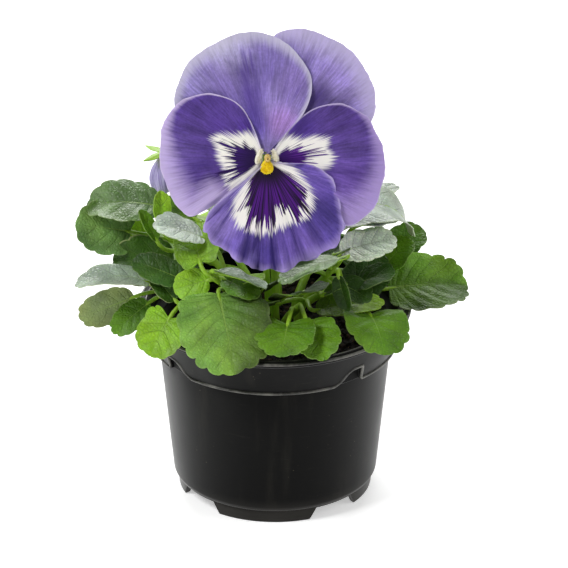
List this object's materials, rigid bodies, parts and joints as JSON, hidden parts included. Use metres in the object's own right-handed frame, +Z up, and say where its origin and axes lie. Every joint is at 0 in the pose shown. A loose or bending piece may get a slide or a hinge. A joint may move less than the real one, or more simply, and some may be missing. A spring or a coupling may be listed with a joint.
{
  "type": "potted viola",
  "caption": "Potted viola with a large open bloom and a nodding bud above toothed leaves, growing in soil in a black nursery pot with a flared collar and a footed base.",
  "frame": {"origin": "on the surface that the pot stands on, at the middle of the plant's outline, which is about a millimetre from the pot's axis", "axes": "+Z up along the pot's axis, -Y the front, where the bloom faces, +X to the viewer's right"},
  "size_m": [0.1445, 0.1133, 0.1805],
  "materials": {
    "pot_plastic": "satin",
    "potting_soil": "matte",
    "leaf_green": "satin",
    "stalk_green": "satin",
    "petal_violet": "matte",
    "stigma": "satin"
  },
  "bodies": {
    "root": {"pot": "pot_plastic", "soil": "potting_soil", "leafy_stem_left_high": "leaf_green", "leafy_stem_left_low": "leaf_green", "leafy_stem_front": "leaf_green", "leafy_stem_front_right": "leaf_green", "leafy_stem_right": "leaf_green", "leafy_stem_right_back": "leaf_green", "leafy_stem_back": "leaf_green", "leafy_stem_left_back": "leaf_green", "flower_stalk": "stalk_green", "petal_upper_right": "petal_violet", "petal_upper_left": "petal_violet", "petal_side_right": "petal_violet", "petal_side_left": "petal_violet", "petal_lower": "petal_violet", "pistil": "stigma", "bud_stalk": "stalk_green", "bud_petals": "petal_violet"}
  },
  "joints": []
}
